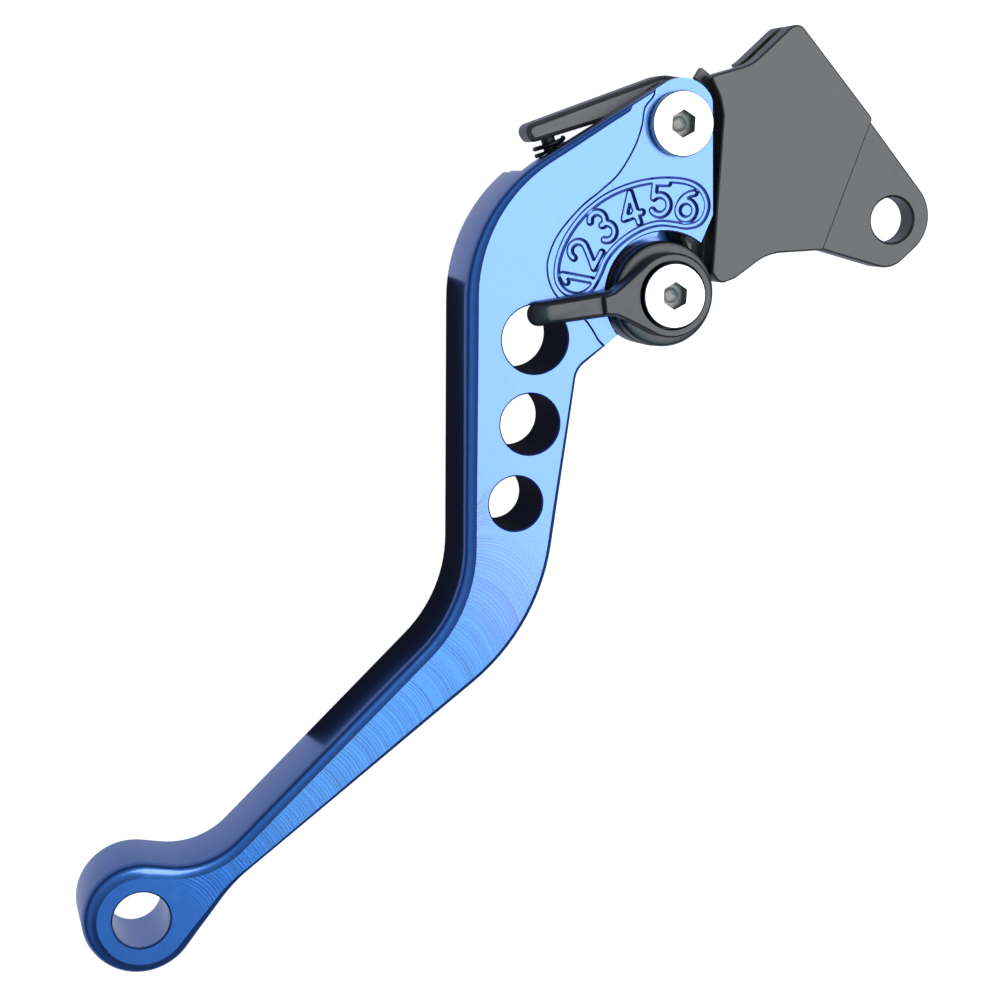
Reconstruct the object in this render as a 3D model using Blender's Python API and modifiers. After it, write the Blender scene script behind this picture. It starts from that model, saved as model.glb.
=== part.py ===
"""Adjustable motorcycle clutch lever, modelled as the assembly it comes apart into.

Frame: the origin is the middle of the perch pivot bore, +Z is that bore's axis with the
numbered face up, the lever runs towards -X and the handlebar side is -Y.
"""
from math import atan2, cos, pi, radians, sin, sqrt, tan

import bmesh
import bpy
from mathutils import Matrix, Vector

MM = 0.001

# Levels along the pivot axis, in millimetres
FACE_TOP = 4.9                      # numbered face of the blade and of the adapter
BLADE_THICKNESS = 14.0
FACE_BOTTOM = FACE_TOP - BLADE_THICKNESS
MIDDLE = (FACE_TOP + FACE_BOTTOM) / 2
TONGUE_THICKNESS = 5.6
SLOT_WIDTH = 6.4
TONGUE_TOP = MIDDLE + TONGUE_THICKNESS / 2
TONGUE_BOTTOM = MIDDLE - TONGUE_THICKNESS / 2
SLOT_TOP = MIDDLE + SLOT_WIDTH / 2
SLOT_BOTTOM = MIDDLE - SLOT_WIDTH / 2
ADAPTER_BOTTOM = -5.0
TAB_HALF = 2.5                      # half the thickness of the perch pivot tab
GAP = 0.3                           # room left between touching pieces
OVERLAP = 0.3                       # how far joined shapes run into each other
CLEAR = 2.0                         # how far a cutter runs past the face it cuts

# Main axes, in millimetres
PIVOT = (-20.9, 39.4)               # blade turns on the adapter here
ADJUSTER = (-41.3, 19.0)            # dial and cam turn on the blade here
EYE = (-177.9, 0.2)                 # hole in the ball end

# Holes
PERCH_BORE = 4.0
EYE_HOLE = 4.8
EYE_RADIUS = 9.6
LIGHTENING_HOLES = (((-63.7, 28.6), 5.8), ((-73.7, 18.2), 5.2), ((-84.4, 9.5), 4.7))
NIPPLE_PLACE = (1.6, 31.4)
NIPPLE_RADIUS = 4.2
NIPPLE_TOP = 2.2
CABLE_SLOT = (-1.2, 1.2)            # lower and upper side of the cable slot
CABLE_SLOT_FLOOR = 31.0

# Adjuster
REACH_TURN = 7.5                    # degrees the blade turns from the first to the last step
DIAL_TURN = 113.4                   # degrees the dial turns meanwhile
STEPS = 6
DIAL_RADIUS = 9.0
DIAL_POCKET = 10.7
HUB_RADIUS = 7.0
HUB_TOP = 8.7
HUB_COUNTERBORE = 6.0
POINTER_ANGLE = 146.7
POINTER_ROOT = 11.5
POINTER_END = 25.2
POINTER_HALF_WIDTHS = (2.2, 1.9)    # at its root and at its end
POINTER_BOTTOM = FACE_TOP + 0.4
POINTER_TOP = FACE_TOP + 2.7
TAPER_START = 52                    # degrees from the pointer where the hub's taper begins
TAPER_HALF_WIDTH = 1.5
TIP_RELIEF = 22.6                   # beyond this the pointer clears the pivot screw's head
CAM_RADIUS = 9.2
CAM_LOW = 5.4                       # distance of the cam's first flat from its axis
CAM_ANGLE = -45.0                   # direction in which the nose meets the cam
CAM_HALF_FLAT = 12.0                # reach of the cutter of a flat, past the drum's edge
CAM_BORE = 4.4
CAM_POCKET = 9.8
DRIVE_PIN_ANGLES = (110.0, 200.0)
DRIVE_PIN_PLACE = 6.6
DRIVE_PIN_RADIUS = 0.8
DRIVE_PIN_LEVELS = (-2.0, 3.3)

# Pivot
BUSH_RADIUS = 4.9
BOSS_RADIUS = 7.4
SPOT_DEPTH = 0.6                    # the tongue is faced down by this round the pivot
BUSH_SHORT = 0.7                    # the bush ends this far inside the tongue's faces

# Fasteners
SHANK = 3.0
CLEARANCE_BORE = SHANK + GAP
HEAD_RADIUS = 5.3
HEX_ACROSS_FLATS = 4.1
HEX_DEPTH = 2.0
PIVOT_HEAD_TOP = 6.5
PIVOT_SINK = 1.4
ADJUSTER_HEAD_TOP = 9.7
ADJUSTER_HEAD_HEIGHT = 3.6
NUT_ACROSS_FLATS = 10.0
NUT_HEIGHT = 2.4
NUT_SINK = 1.2
WASHER_RADIUS = 5.8
THIN_WASHER = 0.4
NUT_WASHER = 0.8
NUT_FACE = FACE_BOTTOM + NUT_SINK
SCREW_END = FACE_BOTTOM - 2.9

# Return spring: its seat is on the arm's underside and it points into the blade
SPRING_SEAT = (-38.7, 51.5)
SPRING_DIRECTION = (-0.400, -0.9165)
SPRING_RADIUS = 2.3
SPRING_WIRE = 0.4
SPRING_TURNS = 5.5
SPRING_START = 0.75
SPRING_END = 9.6
SPRING_POCKET_RADIUS = 3.1
SPRING_POCKET_END = 10.4
GUIDE_PIN_RADIUS = 1.2
GUIDE_PIN_START = -1.6
GUIDE_PIN_END = 4.0

# Outlines: x, y and the radius of the rounding at that corner, counter-clockwise
BLADE = [
    (-12.9, 45.3, 5.9), (-58.3, 53.2, 28.0), (-102.6, 2.0, 24.0), (-164.2, -1.5, 13.0),
    (-173.4, 9.9, EYE_RADIUS), (-187.6, 9.9, EYE_RADIUS), (-187.6, -11.8, EYE_RADIUS),
    (-162.5, -6.2, 25.0), (-95.3, -10.2, 36.0), (-61.4, 19.6, 4.0), (-49.9, 19.2, 0.4),
    (-49.9, 10.4, 8.5), (-32.7, 10.4, 8.5), (-32.7, 20.4, 0.5), (-26.0, 23.6, 1.0),
    (-13.6, 38.8, 3.0),
]
SLOT = [
    (-48.6, 54.5, 0), (-44.8, 48.0, 1.0), (-31.0, 42.4, 3.0), (-34.0, 27.0, 0), (-41.3, 20.0, 0),
    (-41.3, 4.0, 0), (0.0, 4.0, 0), (0.0, 54.5, 0),
]
CHEEK_RELIEF = [
    (-48.2, 54.0, 0), (-46.9, 50.9, 0), (-45.0, 48.9, 1.0), (-24.5, 45.6, 0), (-18.0, 54.0, 0),
]
PLATE = [
    (-14.2, 5.4, 0), (7.2, 17.0, 1.0), (6.8, 39.0, 2.0), (-4.4, 38.7, 8.0), (-11.6, 42.0, 0.5),
    (-12.5, 38.3, 2.5), (-13.9, 35.6, 2.5), (-32.5, 16.1, 0.6), (-32.6, 13.6, 0.8),
    (-29.8, 12.5, 4.0), (-22.5, 11.8, 9.0),
]
PLATE_RELIEF = [
    (-4.2, 44.0, 0), (-13.5, 44.0, 0), (-13.5, 36.5, 0), (-8.5, 33.0, 1.5), (-4.2, 33.0, 1.5),
]
TONGUE = [
    (-37.5, 14.7, 0.4), (-31.8, 14.5, 1.0), (-25.0, 13.0, 0), (-9.5, 30.0, 0), (-9.5, 37.5, 0),
    (-12.7, 42.4, 2.0), (-16.6, 46.7, 5.0), (-41.5, 56.2, 1.3), (-41.9, 53.0, 0.8),
    (-28.2, 46.9, 2.0), (-28.2, 37.0, 5.0), (-33.2, 19.05, 1.0),
]
NUB = [(-10.5, 40.8, 0), (-10.95, 43.4, 0.12), (-12.5, 42.6, 0), (-12.2, 39.8, 0)]
TAB = [
    (-14.2, 5.4, 0), (-5.7, -6.9, 5.0), (7.5, -6.9, 7.3), (7.5, 19.0, 1.0), (-10.0, 19.0, 0),
]

CURVE_STEP = radians(10)            # largest turn between two points of a rounding
ROUND_SIDES = 40


def rounded(corners):
    """Points of a closed outline whose corners are rounded by the given radii."""
    points = []
    for i, (x, y, radius) in enumerate(corners):
        corner = Vector((x, y))
        before = (Vector(corners[i - 1][:2]) - corner).normalized()
        after = (Vector(corners[(i + 1) % len(corners)][:2]) - corner).normalized()
        if radius == 0:
            points.append(corner)
            continue
        half = before.angle(after) / 2
        centre = corner + (before + after).normalized() * radius / sin(half)
        start = corner + before * radius / tan(half) - centre
        turn = (pi - 2 * half) * (1 if before.cross(after) < 0 else -1)
        count = max(2, int(abs(turn) / CURVE_STEP) + 1)
        for k in range(count + 1):
            points.append(centre + Matrix.Rotation(turn * k / count, 2) @ start)
    return points


def circle(centre, radius, sides=ROUND_SIDES):
    """Points of a circle in the plane, in millimetres."""
    angles = [2 * pi * k / sides for k in range(sides)]
    return [Vector((centre[0] + radius * cos(a), centre[1] + radius * sin(a))) for a in angles]


def polar(centre, radius, degrees):
    """The point at a distance and a direction from a centre."""
    angle = radians(degrees)
    return Vector((centre[0] + radius * cos(angle), centre[1] + radius * sin(angle)))


def collection(name):
    made = bpy.data.collections.new(name)
    bpy.context.scene.collection.children.link(made)
    return made


def material(name, colour, roughness, metallic):
    made = bpy.data.materials.new(name)
    made.use_nodes = True
    shader = made.node_tree.nodes["Principled BSDF"]
    shader.inputs["Base Color"].default_value = (*colour, 1.0)
    shader.inputs["Roughness"].default_value = roughness
    shader.inputs["Metallic"].default_value = metallic
    made.diffuse_color = (*colour, 1.0)
    return made


def add_object(name, mesh, surface=None):
    """Put a mesh in the scene as a part, or as a hidden cutter when it has no material."""
    made = bpy.data.objects.new(name, mesh)
    if surface is None:
        cutters.objects.link(made)
        made.hide_render = True
        made.display_type = 'WIRE'
    else:
        parts.objects.link(made)
        mesh.materials.append(surface)
    return made


def curve_to_mesh(name, curve):
    """The closed mesh of a curve, with its loose caps welded on."""
    guide = bpy.data.objects.new(name + "_guide", curve)
    bpy.context.scene.collection.objects.link(guide)
    evaluated = guide.evaluated_get(bpy.context.evaluated_depsgraph_get())
    mesh = bpy.data.meshes.new_from_object(evaluated)
    bpy.data.objects.remove(guide)
    shape = bmesh.new()
    shape.from_mesh(mesh)
    bmesh.ops.remove_doubles(shape, verts=shape.verts, dist=0.002 * MM)
    bmesh.ops.recalc_face_normals(shape, faces=shape.faces)
    if shape.calc_volume(signed=True) < 0:
        bmesh.ops.reverse_faces(shape, faces=shape.faces)
    shape.to_mesh(mesh)
    shape.free()
    mesh.name = name
    return mesh


def plate(name, outline, bottom, top, surface=None):
    """A flat outline in XY, extruded from one level to another."""
    curve = bpy.data.curves.new(name, 'CURVE')
    curve.dimensions = '2D'
    curve.fill_mode = 'BOTH'
    curve.extrude = (top - bottom) / 2 * MM
    spline = curve.splines.new('POLY')
    spline.points.add(len(outline) - 1)
    for point, place in zip(spline.points, outline):
        point.co = (place.x * MM, place.y * MM, 0, 1)
    spline.use_cyclic_u = True
    mesh = curve_to_mesh(name, curve)
    mesh.transform(Matrix.Translation((0, 0, (top + bottom) / 2 * MM)))
    return add_object(name, mesh, surface)


def disc(name, centre, radius, bottom, top, surface=None, sides=ROUND_SIDES):
    """A cylinder, or with few sides a prism, standing on the pivot direction."""
    shape = bmesh.new()
    bmesh.ops.create_cone(shape, cap_ends=True, segments=sides, radius1=radius * MM,
                          radius2=radius * MM, depth=(top - bottom) * MM)
    mesh = bpy.data.meshes.new(name)
    shape.to_mesh(mesh)
    shape.free()
    mesh.transform(Matrix.Translation((centre[0] * MM, centre[1] * MM, (top + bottom) / 2 * MM)))
    return add_object(name, mesh, surface)


def turned(name, centre, profile, surface, sides=ROUND_SIDES, closed=False):
    """A piece turned about a vertical axis from radius and level pairs, top to bottom."""
    mesh = bpy.data.meshes.new(name)
    vertices = [(radius * MM, 0, level * MM) for radius, level in profile]
    edges = [(i, i + 1) for i in range(len(profile) - 1)]
    if closed:
        edges.append((len(profile) - 1, 0))
    mesh.from_pydata(vertices, edges, [])
    made = add_object(name, mesh, surface)
    made.location = (centre[0] * MM, centre[1] * MM, 0)
    screw = made.modifiers.new("Turn", 'SCREW')
    screw.steps = sides
    screw.render_steps = sides
    screw.use_merge_vertices = True
    screw.merge_threshold = 0.000001
    return made


def ring(name, centre, inner, outer, bottom, top, surface, sides=ROUND_SIDES):
    """A washer, bush or sleeve."""
    profile = [(inner, top), (outer, top), (outer, bottom), (inner, bottom)]
    return turned(name, centre, profile, surface, sides, closed=True)


def combine(target, tool, operation='DIFFERENCE'):
    """Cut a piece with another shape or join the shape to it; the shape stays hidden."""
    boolean = target.modifiers.new(operation.title(), 'BOOLEAN')
    boolean.operation = operation
    boolean.solver = 'EXACT'
    boolean.object = tool
    return target


def chamfer(target, width):
    """Break the sharp edges of a simple extruded piece."""
    bevel = target.modifiers.new("Chamfer", 'BEVEL')
    bevel.width = width * MM
    bevel.segments = 1
    bevel.limit_method = 'ANGLE'
    bevel.angle_limit = radians(40)


def along_spring(distance):
    """The point at a distance from the spring's seat, in the middle plane of the slot."""
    return Vector((SPRING_SEAT[0] + SPRING_DIRECTION[0] * distance,
                   SPRING_SEAT[1] + SPRING_DIRECTION[1] * distance, MIDDLE))


def spring_cylinder(name, radius, start, end, surface=None):
    """A round bar on the spring's axis."""
    made = disc(name, (0, 0), radius, 0, end - start, surface, 24)
    direction = Vector((*SPRING_DIRECTION, 0))
    made.rotation_mode = 'QUATERNION'
    made.rotation_quaternion = direction.to_track_quat('Z', 'X')
    made.location = along_spring(start) * MM
    return made


def cap_screw(name, centre, head_top, head_height, end, surface):
    """A low-head hexagon socket screw."""
    edge = 0.4
    under = head_top - head_height
    profile = [(0, head_top), (HEAD_RADIUS - edge, head_top), (HEAD_RADIUS, head_top - edge),
               (HEAD_RADIUS, under), (SHANK, under), (SHANK, end + edge), (SHANK - edge, end), (0, end)]
    made = turned(name, centre, profile, surface)
    socket = disc(name + "_socket", centre, HEX_ACROSS_FLATS / sqrt(3), head_top - HEX_DEPTH,
                  head_top + CLEAR, sides=6)
    return combine(made, socket)


def nut_and_washer(name, centre, surface):
    """A thin hexagon nut and the washer between it and the blade."""
    high = NUT_FACE - GAP
    ring(name + "_nut_washer", centre, CLEARANCE_BORE, WASHER_RADIUS, high - NUT_WASHER, high, surface)
    top = high - NUT_WASHER - GAP
    made = disc(name + "_nut", centre, NUT_ACROSS_FLATS / sqrt(3), top - NUT_HEIGHT, top, surface, 6)
    combine(made, disc(name + "_nut_bore", centre, CLEARANCE_BORE, top - NUT_HEIGHT - CLEAR, top + CLEAR))


def lever_blade(surface):
    """The blade: a long plate, slotted at its head for the adapter's tongue and the cam."""
    blade = plate("lever_blade", rounded(BLADE), FACE_BOTTOM, FACE_TOP, surface)
    chamfer(blade, 1.2)
    low, high = FACE_BOTTOM - CLEAR, FACE_TOP + CLEAR
    cutters_used = [
        plate("slot", rounded(SLOT), SLOT_BOTTOM, SLOT_TOP),
        disc("cam_room", ADJUSTER, CAM_POCKET, SLOT_BOTTOM, SLOT_TOP),
        disc("dial_room", ADJUSTER, DIAL_POCKET, SLOT_TOP - OVERLAP, high),
        plate("cheek_relief", rounded(CHEEK_RELIEF), low, SLOT_BOTTOM + OVERLAP),
        spring_cylinder("spring_pocket", SPRING_POCKET_RADIUS, 1.0, SPRING_POCKET_END),
        disc("eye_hole", EYE, EYE_HOLE, low, high),
        disc("pivot_hole", PIVOT, CLEARANCE_BORE, low, high),
        disc("pivot_sink", PIVOT, HEAD_RADIUS + GAP, FACE_TOP - PIVOT_SINK, high),
        disc("adjuster_hole", ADJUSTER, CLEARANCE_BORE, low, SLOT_TOP),
    ]
    for number, (place, radius) in enumerate(LIGHTENING_HOLES, 1):
        cutters_used.append(disc(f"lightening_hole_{number}", place, radius, low, high))
    for name, place in (("pivot_nut_sink", PIVOT), ("adjuster_nut_sink", ADJUSTER)):
        cutters_used.append(disc(name, place, WASHER_RADIUS + GAP, low, FACE_BOTTOM + NUT_SINK))
    for cutter in cutters_used:
        combine(blade, cutter)
    return blade


def perch_adapter(surface):
    """The adapter: cable block and nose in one plate, with tongue, spring arm and pivot tab."""
    low = ADAPTER_BOTTOM - CLEAR
    adapter = plate("perch_adapter", rounded(PLATE), ADAPTER_BOTTOM, FACE_TOP, surface)
    combine(adapter, plate("plate_relief", rounded(PLATE_RELIEF), low, TONGUE_TOP - OVERLAP))
    combine(adapter, plate("tongue", rounded(TONGUE), TONGUE_BOTTOM, TONGUE_TOP), 'UNION')
    combine(adapter, plate("nub", rounded(NUB), TONGUE_TOP - 1.6, TONGUE_TOP - 0.1), 'UNION')
    combine(adapter, plate("tab", rounded(TAB), -TAB_HALF, TAB_HALF), 'UNION')
    slot_outline = [(-6, CABLE_SLOT_FLOOR, 0), (10, CABLE_SLOT_FLOOR, 0), (10, 42, 0), (-6, 42, 0)]
    for cutter in [
        disc("perch_bore", (0, 0), PERCH_BORE, -TAB_HALF - CLEAR, TAB_HALF + CLEAR),
        disc("bush_bore", PIVOT, BUSH_RADIUS + GAP, low, FACE_TOP),
        disc("spot_face_top", PIVOT, BOSS_RADIUS, TONGUE_TOP - SPOT_DEPTH, TONGUE_TOP + 0.2),
        disc("spot_face_bottom", PIVOT, BOSS_RADIUS, low, TONGUE_BOTTOM + SPOT_DEPTH),
        disc("nipple_pocket", NIPPLE_PLACE, NIPPLE_RADIUS, low, NIPPLE_TOP),
        plate("cable_slot", rounded(slot_outline), *CABLE_SLOT),
        spring_cylinder("guide_pin_hole", GUIDE_PIN_RADIUS + GAP, GUIDE_PIN_START - GAP, 1.0),
    ]:
        combine(adapter, cutter)
    return adapter


def adjuster_dial(surface):
    """The dial: a disc in the blade's pocket, a drop-shaped hub above it and the pointer."""
    bottom = SLOT_TOP + 0.2
    dial = disc("adjuster_dial", ADJUSTER, DIAL_RADIUS, bottom, FACE_TOP, surface, 56)
    root = polar((0, 0), POINTER_ROOT, POINTER_ANGLE)
    across = polar((0, 0), TAPER_HALF_WIDTH, POINTER_ANGLE + 90)
    centre = Vector(ADJUSTER)
    hub = [p for p in circle(ADJUSTER, HUB_RADIUS)
           if abs((degrees_of(p - centre) - POINTER_ANGLE + 180) % 360 - 180) > TAPER_START]
    hub.sort(key=lambda p: (degrees_of(p - centre) - POINTER_ANGLE) % 360)
    hub += [centre + root - across, centre + root + across]
    combine(dial, disc("hub_core", ADJUSTER, HUB_RADIUS - 0.3, bottom + 1, HUB_TOP - 1), 'UNION')
    combine(dial, plate("hub", hub, POINTER_BOTTOM, HUB_TOP), 'UNION')
    start = polar((0, 0), HUB_RADIUS - 1, POINTER_ANGLE)
    end = polar((0, 0), POINTER_END, POINTER_ANGLE)
    wide, narrow = (polar((0, 0), half, POINTER_ANGLE + 90) for half in POINTER_HALF_WIDTHS)
    corners = [centre + start - wide, centre + start + wide, centre + end + narrow, centre + end - narrow]
    pointer = [(p.x, p.y, r) for p, r in zip(corners, (0, 0, 0.8, 0.8))]
    combine(dial, plate("pointer", rounded(pointer[::-1]), POINTER_BOTTOM + 0.1, POINTER_TOP), 'UNION')
    tip = [centre + polar((0, 0), reach, POINTER_ANGLE) + wide * side * 2
           for reach, side in ((TIP_RELIEF, -1), (POINTER_END + CLEAR, -1),
                               (POINTER_END + CLEAR, 1), (TIP_RELIEF, 1))]
    combine(dial, plate("tip_relief", tip, FACE_TOP, PIVOT_HEAD_TOP + GAP))
    combine(dial, disc("dial_bore", ADJUSTER, CAM_BORE, SLOT_BOTTOM, HUB_TOP))
    combine(dial, disc("head_room", ADJUSTER, HUB_COUNTERBORE, FACE_TOP + 0.1, HUB_TOP + CLEAR))
    return cut_drive_pin_holes(dial)


def degrees_of(vector):
    return atan2(vector.y, vector.x) * 180 / pi


def cut_drive_pin_holes(target):
    """Two blind holes for the pins that lock the dial and the cam together."""
    for number, angle in enumerate(DRIVE_PIN_ANGLES, 1):
        place = polar(ADJUSTER, DRIVE_PIN_PLACE, angle)
        name = f"{target.name}_pin_hole_{number}"
        low, high = DRIVE_PIN_LEVELS
        combine(target, disc(name, place, DRIVE_PIN_RADIUS + GAP, low - GAP, high + GAP, sides=16))
    return target


def adjuster_cam(surface):
    """The cam: a drum with flats that lie further from its axis step by step."""
    bottom = SLOT_BOTTOM + THIN_WASHER + 2 * GAP
    top = SLOT_TOP - 0.1
    cam = disc("adjuster_cam", ADJUSTER, CAM_RADIUS, bottom, top, surface, 56)
    arm = Vector(PIVOT) - Vector(ADJUSTER)
    for step in range(STEPS + 1):
        turn = step / STEPS
        direction = CAM_ANGLE + (DIAL_TURN + REACH_TURN) * turn
        distance = CAM_LOW + arm.length * sin(radians(REACH_TURN * turn))
        corners = [polar(ADJUSTER, distance, direction) + polar((0, 0), half, direction + 90)
                   for half in (-CAM_HALF_FLAT, CAM_HALF_FLAT)]
        outwards = polar((0, 0), CAM_RADIUS, direction)
        outline = [corners[0], corners[0] + outwards, corners[1] + outwards, corners[1]]
        combine(cam, plate(f"cam_flat_{step}", outline, bottom - CLEAR, top + CLEAR))
    combine(cam, disc("cam_bore", ADJUSTER, CAM_BORE, bottom - CLEAR, top + CLEAR))
    return cut_drive_pin_holes(cam)


def return_spring(surface):
    """The coil spring that keeps the cam on the adapter's nose."""
    curve = bpy.data.curves.new("return_spring", 'CURVE')
    curve.dimensions = '3D'
    curve.bevel_depth = SPRING_WIRE * MM
    curve.bevel_resolution = 1
    curve.use_fill_caps = True
    axis = Vector((*SPRING_DIRECTION, 0))
    side = Vector((0, 0, 1)).cross(axis)
    count = int(SPRING_TURNS * 14)
    spline = curve.splines.new('POLY')
    spline.points.add(count)
    for k, point in enumerate(spline.points):
        share = k / count
        angle = 2 * pi * SPRING_TURNS * share
        rise = SPRING_START + (SPRING_END - SPRING_START) * share
        offset = side * cos(angle) + Vector((0, 0, 1)) * sin(angle)
        point.co = (*((along_spring(rise) + offset * SPRING_RADIUS) * MM), 1)
    return add_object("return_spring", curve_to_mesh("return_spring", curve), surface)


def pivot_hardware(steel, bronze, plastic):
    """What the blade turns on: screw, sleeve, bush, two thrust washers, washer and nut."""
    cap_screw("pivot_screw", PIVOT, PIVOT_HEAD_TOP, PIVOT_HEAD_TOP - FACE_TOP + PIVOT_SINK - GAP,
              SCREW_END, steel)
    ring("pivot_sleeve", PIVOT, CLEARANCE_BORE, 3.9, SLOT_BOTTOM + GAP, SLOT_TOP - GAP, steel)
    ring("pivot_bush", PIVOT, 4.2, BUSH_RADIUS, TONGUE_BOTTOM + BUSH_SHORT, TONGUE_TOP - BUSH_SHORT, bronze)
    ring("pivot_washer_top", PIVOT, 4.2, 6.2, SLOT_TOP - GAP - THIN_WASHER, SLOT_TOP - GAP, plastic)
    ring("pivot_washer_bottom", PIVOT, 4.2, 6.2, SLOT_BOTTOM + GAP, SLOT_BOTTOM + GAP + THIN_WASHER,
         plastic)
    nut_and_washer("pivot", PIVOT, steel)


def adjuster_hardware(steel, plastic):
    """What the dial and cam turn on: screw, sleeve, washers, drive pins and nut."""
    under_head = ADJUSTER_HEAD_TOP - ADJUSTER_HEAD_HEIGHT
    cap_screw("adjuster_screw", ADJUSTER, ADJUSTER_HEAD_TOP, ADJUSTER_HEAD_HEIGHT,
              SCREW_END, steel)
    ring("adjuster_sleeve", ADJUSTER, CLEARANCE_BORE, 4.1, SLOT_BOTTOM + GAP, under_head - GAP, steel)
    ring("adjuster_wave_washer", ADJUSTER, CAM_BORE, 5.7, under_head - GAP - 0.5, under_head - GAP,
         steel)
    ring("adjuster_cam_washer", ADJUSTER, CAM_BORE, CAM_LOW, SLOT_BOTTOM + GAP,
         SLOT_BOTTOM + GAP + THIN_WASHER, plastic)
    nut_and_washer("adjuster", ADJUSTER, steel)
    for number, angle in enumerate(DRIVE_PIN_ANGLES, 1):
        disc(f"drive_pin_{number}", polar(ADJUSTER, DRIVE_PIN_PLACE, angle), DRIVE_PIN_RADIUS,
             *DRIVE_PIN_LEVELS, steel, 16)


def shade():
    """Smooth the round faces and keep the machined edges sharp."""
    for made in parts.objects:
        made.data.shade_smooth()
        made.data.set_sharp_from_angle(angle=radians(30))


for old in list(bpy.data.objects):
    bpy.data.objects.remove(old)
parts = collection("clutch_lever")
cutters = collection("cutters")

blue = material("blue_anodised_aluminium", (0.03, 0.20, 0.72), 0.25, 1.0)
black = material("black_anodised_aluminium", (0.035, 0.034, 0.035), 0.35, 0.6)
stainless = material("stainless_steel", (0.80, 0.78, 0.75), 0.25, 1.0)
bearing_bronze = material("bearing_bronze", (0.60, 0.38, 0.16), 0.40, 1.0)
nylon = material("black_nylon", (0.02, 0.02, 0.02), 0.55, 0.0)
spring_steel = material("black_spring_steel", (0.05, 0.05, 0.05), 0.30, 0.9)

lever_blade(blue)
perch_adapter(black)
adjuster_dial(black)
adjuster_cam(black)
pivot_hardware(stainless, bearing_bronze, nylon)
adjuster_hardware(stainless, nylon)
return_spring(spring_steel)
spring_cylinder("spring_guide_pin", GUIDE_PIN_RADIUS, GUIDE_PIN_START, GUIDE_PIN_END, spring_steel)
shade()
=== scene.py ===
"""Looks of the adjustable clutch lever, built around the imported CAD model.

Lengths are in millimetres in the tables below and in metres in the scene. The frame is the
record's: origin in the middle of the perch pivot bore, +Z out of the numbered face.
"""
from math import atan2, cos, pi, radians, sin, sqrt, tan

import bmesh
import bpy
import numpy as np
from mathutils import Matrix, Vector
from mathutils.geometry import delaunay_2d_cdt

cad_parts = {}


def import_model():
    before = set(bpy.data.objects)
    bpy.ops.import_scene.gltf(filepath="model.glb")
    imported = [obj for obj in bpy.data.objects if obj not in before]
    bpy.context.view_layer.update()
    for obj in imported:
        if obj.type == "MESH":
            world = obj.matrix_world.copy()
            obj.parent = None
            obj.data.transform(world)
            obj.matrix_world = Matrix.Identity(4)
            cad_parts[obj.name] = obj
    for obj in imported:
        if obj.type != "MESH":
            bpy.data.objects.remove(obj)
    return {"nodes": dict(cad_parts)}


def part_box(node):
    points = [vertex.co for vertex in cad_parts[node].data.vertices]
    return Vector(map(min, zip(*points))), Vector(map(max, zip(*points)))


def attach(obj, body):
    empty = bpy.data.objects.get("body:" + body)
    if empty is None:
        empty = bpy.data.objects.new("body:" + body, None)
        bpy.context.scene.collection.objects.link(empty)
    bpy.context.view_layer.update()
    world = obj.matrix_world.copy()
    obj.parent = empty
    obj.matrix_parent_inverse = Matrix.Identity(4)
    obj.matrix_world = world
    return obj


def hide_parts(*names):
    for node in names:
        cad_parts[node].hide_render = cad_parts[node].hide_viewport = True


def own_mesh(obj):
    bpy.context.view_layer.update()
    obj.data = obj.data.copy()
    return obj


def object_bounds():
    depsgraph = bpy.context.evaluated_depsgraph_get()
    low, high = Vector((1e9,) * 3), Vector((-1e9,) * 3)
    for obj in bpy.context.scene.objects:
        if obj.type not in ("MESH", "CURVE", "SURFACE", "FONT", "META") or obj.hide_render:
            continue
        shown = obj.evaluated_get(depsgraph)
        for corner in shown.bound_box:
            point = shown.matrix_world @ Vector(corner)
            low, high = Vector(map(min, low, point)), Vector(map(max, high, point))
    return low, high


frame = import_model()
CAD_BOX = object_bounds()

MM = 0.001
CLEAR = 2.0                          # how far a cutter runs past the face it cuts
OVERLAP = 0.3                        # how far shapes that belong together reach into each other


def centre_of(node):
    """Middle of a CAD node in plan, in millimetres."""
    low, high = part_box(node)
    return ((low.x + high.x) / 2 / MM, (low.y + high.y) / 2 / MM)


def levels_of(node):
    """Lowest and highest level of a CAD node, in millimetres."""
    low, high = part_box(node)
    return low.z / MM, high.z / MM


# Levels and axes, taken from the frame
FACE_BOTTOM, FACE_TOP = levels_of("lever_blade")
PIVOT = centre_of("pivot_screw")
ADJUSTER = centre_of("adjuster_screw")
EYE = (-177.9, 0.2)
MIDDLE = (FACE_TOP + FACE_BOTTOM) / 2
TONGUE_HALF, SLOT_HALF = 2.8, 3.2
TONGUE_TOP, TONGUE_BOTTOM = MIDDLE + TONGUE_HALF, MIDDLE - TONGUE_HALF
SLOT_TOP, SLOT_BOTTOM = MIDDLE + SLOT_HALF, MIDDLE - SLOT_HALF
ADAPTER_BOTTOM = levels_of("perch_adapter")[0]
TAB_HALF = 2.5

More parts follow.
